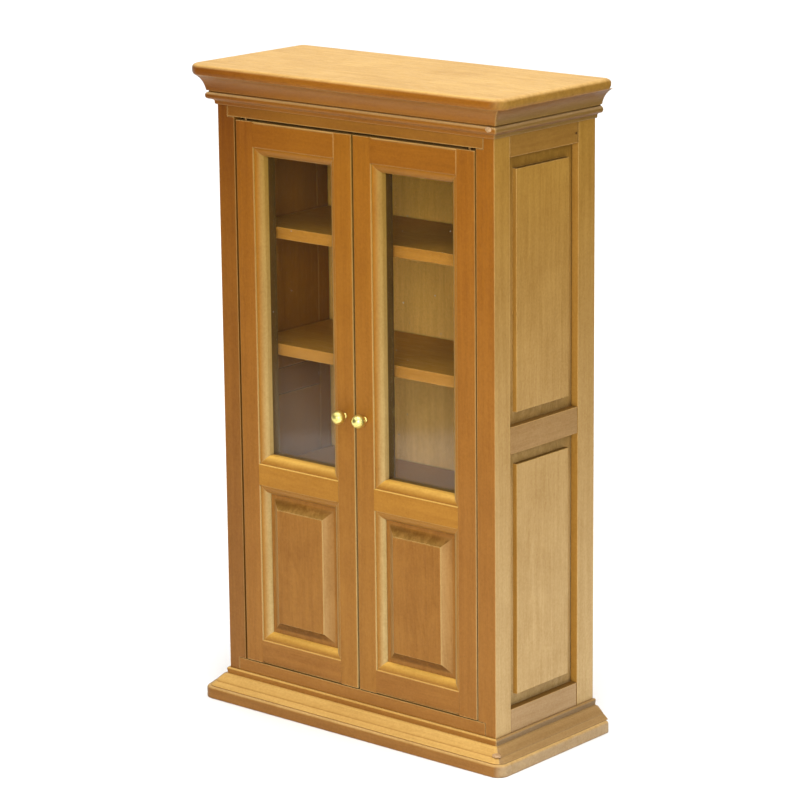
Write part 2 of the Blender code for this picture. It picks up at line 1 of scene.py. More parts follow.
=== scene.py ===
"""Looks of the miniature bookcase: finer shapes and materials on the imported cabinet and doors.

Everything is in the frame's metres. Depths run backwards from the front face of the cabinet,
and projections run outwards from the faces of its body.
"""

import math
import random
import zlib

import bmesh
import bpy
from mathutils import Matrix, Vector


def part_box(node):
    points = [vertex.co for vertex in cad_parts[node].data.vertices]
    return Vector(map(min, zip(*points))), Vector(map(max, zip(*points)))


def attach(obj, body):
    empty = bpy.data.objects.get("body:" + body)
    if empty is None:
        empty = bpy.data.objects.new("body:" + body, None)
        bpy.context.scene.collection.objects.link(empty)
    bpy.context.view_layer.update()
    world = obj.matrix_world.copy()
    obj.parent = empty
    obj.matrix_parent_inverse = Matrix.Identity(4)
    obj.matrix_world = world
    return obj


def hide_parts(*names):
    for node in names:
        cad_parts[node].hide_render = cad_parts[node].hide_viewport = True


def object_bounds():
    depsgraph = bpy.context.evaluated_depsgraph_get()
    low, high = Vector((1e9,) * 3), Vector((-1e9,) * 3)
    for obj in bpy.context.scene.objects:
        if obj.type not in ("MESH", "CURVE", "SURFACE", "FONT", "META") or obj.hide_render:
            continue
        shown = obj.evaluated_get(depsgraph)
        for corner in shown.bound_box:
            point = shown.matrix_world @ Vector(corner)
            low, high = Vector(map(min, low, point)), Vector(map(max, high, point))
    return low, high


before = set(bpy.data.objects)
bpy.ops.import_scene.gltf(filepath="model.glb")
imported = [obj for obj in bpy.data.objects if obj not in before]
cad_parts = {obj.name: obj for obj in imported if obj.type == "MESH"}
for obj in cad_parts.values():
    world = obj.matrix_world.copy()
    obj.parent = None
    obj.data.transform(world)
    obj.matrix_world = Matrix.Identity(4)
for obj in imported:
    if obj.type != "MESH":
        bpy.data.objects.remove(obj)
CAD_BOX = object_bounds()

MM = 0.001

# ---------------------------------------------------------------- sizes taken from the frame
FRONT_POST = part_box("front_post_right")
REAR_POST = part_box("rear_post_right")
TOP_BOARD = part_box("top_board")
BASE_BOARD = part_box("base_board")
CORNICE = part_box("cornice_front")
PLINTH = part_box("plinth_front")
HALF_BODY = FRONT_POST[1].x
FRONT_Y = FRONT_POST[0].y
BACK_Y = REAR_POST[1].y
BASE_PROJECTION = BASE_BOARD[1].x - HALF_BODY

# ---------------------------------------------------------------- sizes of the finer shapes
TOP_PROJECTION = 5.7 * MM       # of the top board at the front, beyond the body
TOP_END_PROJECTION = 6.2 * MM   # and at its ends
BASE_END_EXTRA = 0.45 * MM      # how much further the base board runs out at its ends
TOP_CORNER_RADIUS = 4.4 * MM
BASE_CORNER_RADIUS = 3.2 * MM
MITRE_RADIUS = 0.25 * MM        # corners of the mouldings close to the body
BACK_CORNER_RADIUS = 1.2 * MM
TOP_ARRIS = 1.15 * MM
BASE_ARRIS = 0.9 * MM
BASE_FOOT_ARRIS = 0.3 * MM
SMALL_ARRIS = 0.22 * MM         # square edges of posts, rails and shelves
JOINT_ARRIS = 0.08 * MM         # the end of a door rail where its joint shows
DOOR_ARRIS = 0.35 * MM
STICKING_WIDTH = 2.5 * MM
STICKING_DEPTH = 1.8 * MM
RETURN_START = 3.3 * MM         # depth from which the inner faces of the openings are dark
RETURN_END = 5.9 * MM
HAIRLINE = 0.03 * MM            # overlap or opening of a tight joint
TINY = 0.02 * MM                # slack when faces are told apart by their place
MOULDING_REACH = 1.6 * MM       # how far dark stain and painted shade reach out of a moulding's quirks
PANEL_REACH = 2.0 * MM          # and out of the recess around a panel
QUIET_JOINT = 0.5 * MM          # beside a flush joint the wood is not worn
KNOB_SEGMENTS = 48
KNOB_SETBACK = 0.5 * MM         # how far the ball sits in from the front of its box
COVE_FOOT = 2.3 * MM            # projection of the cove where its corners start to round
BEAD_RADIUS = 0.98 * MM         # of the cornice
NAIL_SEGMENTS = 16
NAIL_FROM_EDGE = 0.9 * MM       # in the side's top rail, from its rear end
NAIL_BELOW_TOP = 11.0 * MM
CORNER_STEPS = 12               # of a quarter turn round a board's corner
MITRE_STEPS = 6                 # of an eighth turn, up to a moulding's mitre
SHARP_ANGLE = 32                # degrees between faces that meet in a crisp edge

# ---------------------------------------------------------------- looks
# Wood tones are linear colours. The tones by facing and height are painted light and shade: the fronts
# and the parts near the top are darker, and the top board and the low sides lighter, as the light falls.
# Shades multiply the tone of one part.
FRONT_HEAD = (0.252, 0.086, 0.0055)
FRONT_FOOT = (0.285, 0.119, 0.020)
SIDE_HEAD = (0.255, 0.130, 0.020)
SIDE_FOOT = (0.430, 0.285, 0.120)
# painted light on faces that look up, and painted shade on faces that look down
LIT_TOP_TONE = (0.580, 0.345, 0.103)
SHADED_UNDER_TONE = (0.240, 0.095, 0.015)
# painted shade on the side walls' inner faces, where little light reaches inside
SHADED_INWARD_TONE = (0.220, 0.094, 0.009)     # side walls, seen from inside
# painted light and shade on the recessed side frames: a lighter tone on their forward walls, a darker one on
# their ledges
WALL_TONE = (0.350, 0.175, 0.030)       # walls of the side frames that face forwards
SHADED_LEDGE_TONE = (0.190, 0.092, 0.014)      # and the ledges under the side panels
# painted shade on the tops of the shelves and boards inside
SHADED_SHELF_TOP_TONE = (0.230, 0.092, 0.007)
# painted light on the door mouldings' faces that look up
STICKING_LIT_TOP_TONE = (0.600, 0.305, 0.056)
WORN_TONE = (0.560, 0.345, 0.120)
# dark stain in pores, and in quirks and inner corners with painted shade
DARK_AND_SHADE_TONE = (0.055, 0.019, 0.002)
GRAIN_DARK = (0.85, 0.81, 0.73)
GRAIN_LIGHT = (1.13, 1.18, 1.28)
HEAD_LEFT_PAINTED_SHADE = (0.74, 0.64, 0.60)    # top left of the front: painted shade, where the light falls off
PLAIN_SHADE = (1.0, 1.0, 1.0)
BOARD_END_SHADE = (0.85, 0.85, 0.90)
PANEL_END_SHADE = (0.52, 0.48, 0.32)
PANEL_SHADE = (0.97, 0.99, 0.98)
# painted shade on the inner faces of the openings
RETURN_PAINTED_SHADE = (0.30, 0.30, 0.25)       # inner faces of the openings, behind the panes
# painted light: the door mouldings turn towards the light and are lighter
STICKING_LIT_SHADE = (1.12, 1.24, 1.25)
FACE_RAIL_SHADE = (0.95, 1.10, 1.90)
# the sides of the cornice and plinth are darker than their fronts: painted shade
CORNICE_SHADES = {"front": (0.95, 1.00, 1.30), "side": (0.62, 0.66, 0.95)}
PLINTH_SHADES = {"front": (1.02, 1.02, 0.92), "side": (0.52, 0.51, 0.60)}
BASE_SHADE = (0.92, 0.95, 1.10)
SIDE_RAIL_SHADE = (0.78, 0.74, 0.80)
# the left front post darker: painted shade, where the light falls off to the left
LEFT_POST_PAINTED_SHADE = (0.82, 0.80, 0.86)
SHELF_SHADE = (1.85, 2.40, 3.80)
BACK_SHADE = (3.50, 6.00, 14.0)         # pale inner face of the back panel, partly its own colour and partly painted light
INSIDE_SHADE = (1.20, 1.40, 2.00)
DOOR_SHADES = {"lock_rail": (1.28, 1.40, 1.12), "meeting_stile": (1.06, 1.10, 1.05)}
FILLER_TONE = (0.50, 0.33, 0.19)
FILLER_STAINED = (0.35, 0.20, 0.08)
KNOB_BRIGHT = (0.92, 0.82, 0.28)
KNOB_DULL = (0.60, 0.48, 0.12)
KNOB_GLOSS = 0.28
PIN_BRIGHT = (0.30, 0.17, 0.06)
PIN_DULL = (0.10, 0.05, 0.02)
PIN_GLOSS = 0.45
NAIL_GLOSS = 0.5
PANE_TINT = (0.97, 0.96, 0.94)
# a grey veil on the panes, thickest low down: painted reflection
REFLECTION_VEIL_TONE = (0.55, 0.47, 0.38)
DUST_TONE = (0.85, 0.83, 0.78)
REFLECTION_VEIL_AMOUNTS = {"left_door_glass": 0.050, "right_door_glass": 0.010}
REFLECTION_VEIL_LEAST = 0.003
REFLECTION_VEIL_HEIGHTS = (80 * MM, 108 * MM)      # the veil is thickest below the first and thin above the second

# Wood: noise scales along and across its grain, then its varnish, wear and relief
STREAK_SCALE = (22, 620)
FIBRE_SCALE = (260, 2600)
FIGURE_SCALE = (14, 120)
PORE_SCALE = (1300, 2300)
BLOTCH_SCALE = (75, 75)
MOTTLE_SCALE = (420, 420)
SPECKLE_SCALE = (1500, 1500)
FIGURE_BANDS = 60.0             # growth rings across one swing of the figure's noise
VARNISH_ROUGHNESS = 0.42
VARNISH_SHINE = 0.16
WEAR_RADIUS = 0.42 * MM         # how wide sharp edges are worn
OPEN_REACH = 1.1 * MM           # how far dark stain and painted shade reach out of plain inner corners
FINE_RELIEF = 0.018 * MM
BROAD_RELIEF = 0.10 * MM
END_FACING = (0.14, 0.34)       # how far a surface turns to the end grain before it shows
SHALLOW_END_FACING = (0.02, 0.055)      # the same on a panel with a shallow bevel
INWARD_ZONE = 12 * MM           # the side walls' inner faces are this near the body's sides
HEAD_LEFT_HEIGHTS = (130 * MM, 172 * MM)
HEAD_LEFT_PLACES = (-15 * MM, -50 * MM)

# Noise scales of the other materials
TARNISH_SCALE = (600, 600, 600)
TURNING_SCALE = (900, 9000, 900)
CLOUD_SCALE = (45, 45, 30)
DUST_SCALE = (210, 210, 210)
GRIT_SCALE = (2500, 2500, 2500)
PAPER_SCALE = (400, 400, 400)
CARD_SCALE = (300, 300, 300)

# Stage: azimuths run from the front to the right, in degrees, and lengths are metres
HORIZON_STRENGTH = 0.60
ZENITH_STRENGTH = 0.90          # added straight overhead
FLOOR_SIZE = 6.0
FLOOR_DROP = 0.02 * MM
FLAG_TONE = (0.05, 0.04, 0.03)
FLAGS = (       # name, azimuth, distance, width, height
    ("flag_left", -40, 0.33, 0.38, 0.30),
    ("flag_right", 140, 0.33, 0.60, 0.30),
)
SOFTBOXES = (   # name, azimuth, elevation, distance, size, watts, colour
    ("light_above", 60, 75, 1.2, 0.8, 6.5, (1.0, 0.98, 0.94)),
    ("light_key", 40, 15, 1.4, 0.6, 10.5, (1.0, 0.98, 0.94)),
    ("light_right", 105, 20, 1.3, 0.6, 6.0, (0.98, 1.0, 0.96)),
    ("light_left", -30, 40, 1.4, 0.6, 2.0, (1.0, 0.96, 0.90)),
)

CAMERA_AZIMUTH = 40.503
CAMERA_ELEVATION = 13.958
CAMERA_ROLL = -0.583
CAMERA_DISTANCE = 0.8959
CAMERA_LENS = 149.9
CAMERA_SENSOR = 36.0
CAMERA_AIM = Vector((-0.57, 0.78, -0.33)) * MM      # from the middle of the cabinet


# ---------------------------------------------------------------- mesh tools
def add_piece(name, bm, material, body, replaced=()):
    """Make a piece from a bmesh in the row frame, and hang it on a body.

    material is one material, or a list in the order of the faces' material indices.
    """
    bmesh.ops.remove_doubles(bm, verts=bm.verts, dist=0.002 * MM)
    bmesh.ops.recalc_face_normals(bm, faces=bm.faces)
    mesh = bpy.data.meshes.new(name)
    bm.to_mesh(mesh)
    bm.free()
    mesh.shade_smooth()
    mesh.set_sharp_from_angle(angle=math.radians(SHARP_ANGLE))
    piece = bpy.data.objects.new(name, mesh)
    bpy.context.scene.collection.objects.link(piece)
    even_normals = piece.modifiers.new("even_normals", "WEIGHTED_NORMAL")
    even_normals.keep_sharp = True
    for each in material if isinstance(material, list) else [material]:
        mesh.materials.append(each)
    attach(piece, body)
    if replaced:
        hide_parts(*replaced)
    return piece


def loft(rings):
    """A closed solid through rings of equally many points, capped at both ends."""
    bm = bmesh.new()
    loops = [[bm.verts.new(point) for point in ring] for ring in rings]
    count = len(rings[0])
    for near, far in zip(loops, loops[1:]):
        for i in range(count):
            j = (i + 1) % count
            bm.faces.new((near[i], near[j], far[j], far[i]))
    bm.faces.new(loops[0])
    bm.faces.new(loops[-1])
    return bm


def arc(centre, radius, start, end, steps):
    """Points along a circular arc in a profile's plane, angles in degrees."""
    points = []
    for i in range(steps + 1):
        angle = math.radians(start + (end - start) * i / steps)
        points.append((centre[0] + radius * math.cos(angle), centre[1] + radius * math.sin(angle)))
    return points


def curve(start, pull, end, steps):
    """Points along a quadratic curve that leans towards its middle point."""
    points = []
    for i in range(steps + 1):
        t = i / steps
        points.append(tuple((1 - t) ** 2 * a + 2 * t * (1 - t) * b + t * t * c
                            for a, b, c in zip(start, pull, end)))
    return points


# ---------------------------------------------------------------- materials
class Tree:
    """Short-hand for one material's node tree."""

    def __init__(self, name):
        self.material = bpy.data.materials.new(name)
        self.material.use_nodes = True
        self.nodes = self.material.node_tree.nodes
        self.links = self.material.node_tree.links
        self.shader = self.nodes["Principled BSDF"]
        self.output = self.nodes["Material Output"]

    def add(self, kind, **settings):
        node = self.nodes.new("ShaderNode" + kind)
        for key, value in settings.items():
            setattr(node, key, value)
        return node

    def put(self, socket, value):
        """Link an output to an input socket, or set the input's value."""
        if isinstance(value, bpy.types.NodeSocket):
            self.links.new(value, socket)
        elif isinstance(value, tuple) and len(value) == 3 and socket.type == "RGBA":
            socket.default_value = (*value, 1.0)
        else:
            socket.default_value = value

    def math(self, operation, a, b=0.0, clamp=False):
        node = self.add("Math", operation=operation, use_clamp=clamp)
        self.put(node.inputs[0], a)
        self.put(node.inputs[1], b)
        return node.outputs[0]

    def fit(self, value, low, high, to_low=0.0, to_high=1.0):
        """Map a range smoothly onto another, clamped."""
        node = self.add("MapRange", interpolation_type="SMOOTHSTEP")
        self.put(node.inputs["Value"], value)
        self.put(node.inputs["From Min"], low)
        self.put(node.inputs["From Max"], high)
        self.put(node.inputs["To Min"], to_low)
        self.put(node.inputs["To Max"], to_high)
        return node.outputs["Result"]

    def mix(self, factor, a, b, blend="MIX"):
        node = self.add("Mix", data_type="RGBA", blend_type=blend)
        self.put(node.inputs["Factor"], factor)
        self.put(node.inputs[6], a)
        self.put(node.inputs[7], b)
        return node.outputs[2]

    def place(self, scale, offset):
        """Object coordinates, stretched and shifted."""
        coords = self.add("TexCoord").outputs["Object"]
        mapping = self.add("Mapping")
        self.links.new(coords, mapping.inputs["Vector"])
        mapping.inputs["Scale"].default_value = scale
        mapping.inputs["Location"].default_value = offset
        return mapping.outputs["Vector"]

    def noise(self, vector, detail, roughness, distortion=0.0):
        node = self.add("TexNoise")
        self.links.new(vector, node.inputs["Vector"])
        node.inputs["Scale"].default_value = 1.0
        node.inputs["Detail"].default_value = detail
        node.inputs["Roughness"].default_value = roughness
        node.inputs["Distortion"].default_value = distortion
        return node.outputs["Fac"]

    def bump(self, height, distance, strength=1.0, normal=None):
        node = self.add("Bump")
        node.inputs["Strength"].default_value = strength
        node.inputs["Distance"].default_value = distance
        self.links.new(height, node.inputs["Height"])
        if normal is not None:
            self.links.new(normal, node.inputs["Normal"])
        return node.outputs["Normal"]


def seeded_offset(name):
    """A place in the noise of its own for each piece."""
    chance = random.Random(zlib.crc32(name.encode()))
    return tuple(chance.uniform(-40, 40) for _ in range(3))


def stain_and_painted_light(tree, recessed, painted_top_tone):
    """The stain's tone with painted light and shade, by which way a surface faces, how high it is, and
    whether it faces inwards.

    The side frames and panels are recessed: their faces that look forwards or up have their own
    painted tones.
    """
    coords = tree.add("TexCoord")
    facing = tree.add("SeparateXYZ")
    place = tree.add("SeparateXYZ")
    tree.links.new(coords.outputs["Normal"], facing.inputs[0])
    tree.links.new(coords.outputs["Object"], place.inputs[0])
    # Painted light and shade: the tone changes with height and with the way a surface faces.
    height = tree.fit(place.outputs["Z"], BASE_BOARD[0].z, TOP_BOARD[0].z)
    front = tree.mix(height, FRONT_FOOT, FRONT_HEAD)
    side = tree.mix(height, SIDE_FOOT, SIDE_HEAD)
    sideways = tree.fit(tree.math("ABSOLUTE", facing.outputs["X"]), 0.15, 0.95)
    # Painted shade on the inner faces of the side walls.
    inwards = tree.math("MULTIPLY", facing.outputs["X"], tree.math("SIGN", place.outputs["X"]))
    from_middle = tree.math("ABSOLUTE", place.outputs["X"])
    near_end = tree.math("GREATER_THAN", from_middle, HALF_BODY - INWARD_ZONE)
    inwards = tree.math("MULTIPLY", tree.fit(inwards, -0.5, -0.9), near_end)
    # Painted shade at the top left of the front, where the light falls off.
    painted_shade_head_left = tree.math("MULTIPLY", tree.fit(place.outputs["Z"], *HEAD_LEFT_HEIGHTS),
                          tree.fit(place.outputs["X"], *HEAD_LEFT_PLACES))
    front = tree.mix(painted_shade_head_left, front, tree.mix(1.0, front, HEAD_LEFT_PAINTED_SHADE, "MULTIPLY"))
    # Painted light: the forward walls of the recessed side frames take their own tone.
    tone = tree.mix(sideways, WALL_TONE if recessed else front, side)
    tone = tree.mix(inwards, tone, SHADED_INWARD_TONE)
    upwards = tree.fit(facing.outputs["Z"], 0.15, 0.95)
    tone = tree.mix(upwards, tone, SHADED_LEDGE_TONE if recessed else painted_top_tone)
    return tree.mix(tree.fit(facing.outputs["Z"], -0.15, -0.95), tone, SHADED_UNDER_TONE)


def wood(name, grain, shade=PLAIN_SHADE, wear=0.7, recess=0.8, blotch=0.5, figure=0.25,
         end_shade=BOARD_END_SHADE, end_facing=END_FACING, reach=OPEN_REACH, recessed=False,
         painted_top_tone=LIT_TOP_TONE, forward_shade=None):
    """Stained and varnished wood, with its grain along one axis of the row frame.

    shade multiplies the stain's tone, or forward_shade where the surface faces forwards, and
    end_shade multiplies it again on end grain. painted_top_tone is the painted tone of faces that look
    up. wear lightens sharp edges, and recess darkens quirks and inner corners up to reach away from
    the next surface, with dark stain and painted shade. blotch and figure are how uneven the stain and
    the growth rings look.
    """
    tree = Tree(name + "_wood")
    offset = seeded_offset(name)
    along = "xyz".index(grain)

    def pattern(scale, *settings):
        run, across = scale
        stretched = tuple(run if axis == along else across for axis in range(3))
        return tree.noise(tree.place(stretched, offset), *settings)

    streaks = pattern(STREAK_SCALE, 5.0, 0.62, 0.25)
    fibres = pattern(FIBRE_SCALE, 3.0, 0.6)
    figures = pattern(FIGURE_SCALE, 2.0, 0.5, 1.6)
    bands = tree.math("SINE", tree.math("MULTIPLY", figures, FIGURE_BANDS))
    blotches = pattern(BLOTCH_SCALE, 3.0, 0.55)
    pores = pattern(PORE_SCALE, 2.0, 0.7)
    speckle = pattern(SPECKLE_SCALE, 2.0, 0.6)
    mottle = pattern(MOTTLE_SCALE, 4.0, 0.65)

    total = tree.fit(streaks, 0.0, 1.0)
    for value, weight in ((fibres, 0.5), (blotches, 1.6 * blotch), (pores, 0.7), (speckle, 1.0)):
        part = tree.math("MULTIPLY", tree.math("SUBTRACT", value, 0.5), weight)
        total = tree.math("ADD", total, part)
    total = tree.math("ADD", total, tree.math("MULTIPLY", bands, 0.22 * figure), clamp=True)
    grain_shade = tree.mix(total, GRAIN_DARK, GRAIN_LIGHT)
    colour = tree.mix(1.0, stain_and_painted_light(tree, recessed, painted_top_tone), grain_shade, "MULTIPLY")
    facing = tree.add("SeparateXYZ")
    tree.links.new(tree.add("TexCoord").outputs["Normal"], facing.inputs[0])
    if forward_shade:
        shade = tree.mix(tree.fit(facing.outputs["Y"], -0.3, -0.8), shade, forward_shade)
    colour = tree.mix(1.0, colour, shade, "MULTIPLY")
    end_grain = tree.fit(tree.math("ABSOLUTE", facing.outputs["XYZ"[along]]), *end_facing)
    end_grain = tree.math("MULTIPLY", end_grain, tree.fit(mottle, 0.30, 0.60, 0.45, 1.0))
    colour = tree.mix(end_grain, colour, tree.mix(1.0, colour, end_shade, "MULTIPLY"))
    dots = tree.fit(pores, 0.66, 0.76)
    colour = tree.mix(tree.math("MULTIPLY", dots, 0.30), colour, DARK_AND_SHADE_TONE)

    # Ambient occlusion darkens quirks and inner corners: dark stain and painted shade.
    occlusion = tree.add("AmbientOcclusion", samples=6)
    occlusion.inputs["Distance"].default_value = reach
    open_share = occlusion.outputs["AO"]
    stain_and_shade_in_recess = tree.math("MULTIPLY", tree.fit(open_share, 0.70, 0.18), recess)
    stain_and_shade_in_recess = tree.math("MULTIPLY", stain_and_shade_in_recess, tree.fit(blotches, 0.30, 0.62, 0.55, 1.0))
    colour = tree.mix(stain_and_shade_in_recess, colour, DARK_AND_SHADE_TONE)

    bevelled = tree.add("Bevel", samples=6)
    bevelled.inputs["Radius"].default_value = WEAR_RADIUS
    dot = tree.add("VectorMath", operation="DOT_PRODUCT")
    tree.links.new(bevelled.outputs["Normal"], dot.inputs[0])
    tree.links.new(tree.add("NewGeometry").outputs["Normal"], dot.inputs[1])
    edge = tree.fit(dot.outputs["Value"], 0.995, 0.90)
    edge = tree.math("MULTIPLY", edge, tree.fit(open_share, 0.55, 0.85))
    edge = tree.math("MULTIPLY", edge, tree.fit(streaks, 0.28, 0.62, 0.45, 1.0))
    colour = tree.mix(tree.math("MULTIPLY", edge, wear), colour, WORN_TONE)

    tree.links.new(colour, tree.shader.inputs["Base Color"])
    rough = tree.fit(fibres, 0.3, 0.7, VARNISH_ROUGHNESS + 0.10, VARNISH_ROUGHNESS - 0.04)
    tree.links.new(rough, tree.shader.inputs["Roughness"])
    tree.shader.inputs["Specular IOR Level"].default_value = VARNISH_SHINE
    fine = tree.bump(tree.math("SUBTRACT", fibres, dots), FINE_RELIEF)
    waves = tree.math("ADD", blotches, tree.math("MULTIPLY", streaks, 0.4))
    tree.links.new(tree.bump(waves, BROAD_RELIEF, 0.6, fine), tree.shader.inputs["Normal"])
    return tree.material


def brass(name, bright, dull, gloss):
    """Brass with a few fine turning marks, tarnished from bright to dull in places."""
    tree = Tree(name + "_brass")
    offset = seeded_offset(name)
    tarnish = tree.noise(tree.place(TARNISH_SCALE, offset), 4.0, 0.6)
    marks = tree.noise(tree.place(TURNING_SCALE, offset), 2.0, 0.5)
    colour = tree.mix(tree.fit(tarnish, 0.45, 0.75), bright, dull)
    tree.links.new(colour, tree.shader.inputs["Base Color"])
    tree.shader.inputs["Metallic"].default_value = 1.0
    tree.links.new(tree.fit(tarnish, 0.3, 0.8, gloss, gloss + 0.2), tree.shader.inputs["Roughness"])
    tree.links.new(tree.bump(marks, 0.004 * MM), tree.shader.inputs["Normal"])
    return tree.material


def glazing(name, veil_amount):
    """Clear acrylic sheet with a painted reflection low down as a grey veil, soft reflections
    and a few specks of dust.
    """
    tree = Tree(name + "_acrylic")
    offset = seeded_offset(name)
    cloud = tree.noise(tree.place(CLOUD_SCALE, offset), 3.0, 0.5)
    specks = tree.add("TexVoronoi", feature="F1")
    tree.links.new(tree.place(DUST_SCALE, offset), specks.inputs["Vector"])
    specks.inputs["Scale"].default_value = 1.0
    dust = tree.fit(specks.outputs["Distance"], 0.042, 0.022)
    place = tree.add("SeparateXYZ")
    tree.links.new(tree.add("TexCoord").outputs["Object"], place.inputs[0])
    # Painted reflection: a grey veil, thickest low down.
    reflection_veil = tree.fit(place.outputs["Z"], *REFLECTION_VEIL_HEIGHTS, veil_amount, REFLECTION_VEIL_LEAST)
    reflection_veil = tree.math("MULTIPLY", reflection_veil, tree.fit(cloud, 0.3, 0.7, 0.6, 1.4))
    reflection_veil_and_dust = tree.math("ADD", reflection_veil, tree.math("MULTIPLY", dust, 0.5), clamp=True)
    tree.links.new(tree.mix(dust, REFLECTION_VEIL_TONE, DUST_TONE), tree.shader.inputs["Base Color"])
    tree.shader.inputs["Roughness"].default_value = 0.5
    tree.shader.inputs["Specular IOR Level"].default_value = 0.0
    clear = tree.add("BsdfTransparent")
    clear.inputs["Color"].default_value = (*PANE_TINT, 1.0)
    mirror = tree.add("BsdfAnisotropic")
    mirror.inputs["Roughness"].default_value = 0.07
    grazing = tree.math("POWER", tree.add("LayerWeight").outputs["Facing"], 5.0)
    reflected = tree.math("ADD", tree.math("MULTIPLY", grazing, 0.96), 0.04)

    def blend(factor, first, second):
        mix = tree.add("MixShader")
        tree.links.new(factor, mix.inputs["Fac"])
        tree.links.new(first, mix.inputs[1])
        tree.links.new(second, mix.inputs[2])
        return mix.outputs["Shader"]

    veiled = blend(reflection_veil_and_dust, clear.outputs["BSDF"], tree.shader.outputs["BSDF"])
    tree.links.new(blend(reflected, veiled, mirror.outputs["BSDF"]), tree.output.inputs["Surface"])
    return tree.material


# ---------------------------------------------------------------- boards and mouldings
def corner_point(projection, z, angle, side, radius, extra):
    """A point of an outline that stands out from the body, at a rounded front corner.

    The angle runs from 0 where the outline faces forwards to 90 degrees where it faces sideways.
    extra is how much further the outline stands out at the ends than at the front.
    """
    x = HALF_BODY + projection + extra - radius + radius * math.sin(angle)
    y = FRONT_Y - projection + radius - radius * math.cos(angle)
    return Vector((side * x, y, z))


def board_outline(projection, z, back_y, radius, extra):
    """The whole plan outline of the top board or the base board at one height."""
    quarter = [math.pi / 2 * i / CORNER_STEPS for i in range(CORNER_STEPS + 1)]
    half_width = HALF_BODY + projection + extra
    back_centre = (half_width - BACK_CORNER_RADIUS, back_y - BACK_CORNER_RADIUS)
    back = arc(back_centre, BACK_CORNER_RADIUS, 0, 90, CORNER_STEPS)
    points = [corner_point(projection, z, a, 1, radius, extra) for a in quarter]
    points += [Vector((x, y, z)) for x, y in back]
    points += [Vector((-x, y, z)) for x, y in reversed(back)]
    points += [corner_point(projection, z, a, -1, radius, extra) for a in reversed(quarter)]
    return points


def add_boards():
    """The top board with its full rounded edge, and the base board."""
    low, high = TOP_BOARD
    out = TOP_PROJECTION
    profile = [(out - 2.5 * MM, low.z), (out - 0.75 * MM, low.z), (out - 0.30 * MM, low.z + 0.3 * MM),
               (out - 0.08 * MM, low.z + 0.8 * MM), (out, low.z + 1.3 * MM)]
    profile += arc((out - TOP_ARRIS, high.z - TOP_ARRIS), TOP_ARRIS, 0, 90, 8)
    profile.append((out - 2 * TOP_ARRIS, high.z))
    extra = TOP_END_PROJECTION - TOP_PROJECTION
    rings = [board_outline(s, z, high.y - out + s, TOP_CORNER_RADIUS - out + s, extra) for s, z in profile]
    material = wood("top_board", "x", wear=0.6, recess=0.2, figure=0.7)
    add_piece("shaped_top_board", loft(rings), material, "cabinet", ["top_board"])

    low, high = BASE_BOARD
    out = BASE_PROJECTION
    profile = [(out - BASE_FOOT_ARRIS, low.z)]
    profile += arc((out - BASE_FOOT_ARRIS, low.z + BASE_FOOT_ARRIS), BASE_FOOT_ARRIS, -60, 0, 4)
    profile += arc((out - BASE_ARRIS, high.z - BASE_ARRIS), BASE_ARRIS, 0, 60, 6)
    profile.append((out - 1.2 * MM, high.z))
    rings = [board_outline(s, z, high.y - out + s, BASE_CORNER_RADIUS - out + s, BASE_END_EXTRA)
             for s, z in profile]
    material = wood("base_board", "x", BASE_SHADE, wear=0.3, recess=0.2, figure=0.4)
    add_piece("shaped_base_board", loft(rings), material, "cabinet", ["base_board"])


def add_mitred_moulding(name, profile, shades, plan):
    """Front, left and right lengths of a moulding that runs round the body.

    plan gives the corner radius and the extra run-out at the ends for a projection.
    """
    eighth = [math.pi / 4 * i / MITRE_STEPS for i in range(MITRE_STEPS + 1)]
    front = [[corner_point(s, z, a, -1, *plan(s)) for s, z in profile] for a in reversed(eighth)]
    front += [[corner_point(s, z, a, 1, *plan(s)) for s, z in profile] for a in eighth]
    looks = {"wear": 0.35, "recess": 0.9, "blotch": 0.35, "reach": MOULDING_REACH}
    material = wood(name + "_front", "x", shades["front"], **looks)
    add_piece("shaped_" + name + "_front", loft(front), material, "cabinet",
              [name + "_front"])
    for side, word in ((-1, "left"), (1, "right")):
        open_mitre = Vector((0, HAIRLINE, 0))
        angles = [math.pi / 2 - a for a in reversed(eighth)]
        rings = [[corner_point(s, z, a, side, *plan(s)) + open_mitre for s, z in profile] for a in angles]
        rings.append([Vector((side * (HALF_BODY + s + plan(s)[1]), BACK_Y, z)) for s, z in profile])
        # The side lengths take the darker side shade: painted shade.
        material = wood(name + "_" + word, "y", shades["side"], **looks)
        add_piece("shaped_" + name + "_" + word, loft(rings), material, "cabinet",
                  [name + "_" + word])


def cornice_plan(projection):
    """The cove follows the top board's rounded corners at its head, and is mitred at its foot."""
    share = max(0.0, (projection - COVE_FOOT) / (TOP_PROJECTION - COVE_FOOT))
    extra = TOP_END_PROJECTION - TOP_PROJECTION
    return MITRE_RADIUS + (TOP_CORNER_RADIUS - MITRE_RADIUS) * share, extra * share


def plinth_plan(projection):
    """The slope follows the base board's rounded corners at its foot."""
    share = max(0.0, projection / BASE_PROJECTION)
    return MITRE_RADIUS + (BASE_CORNER_RADIUS - MITRE_RADIUS) * share, BASE_END_EXTRA * share


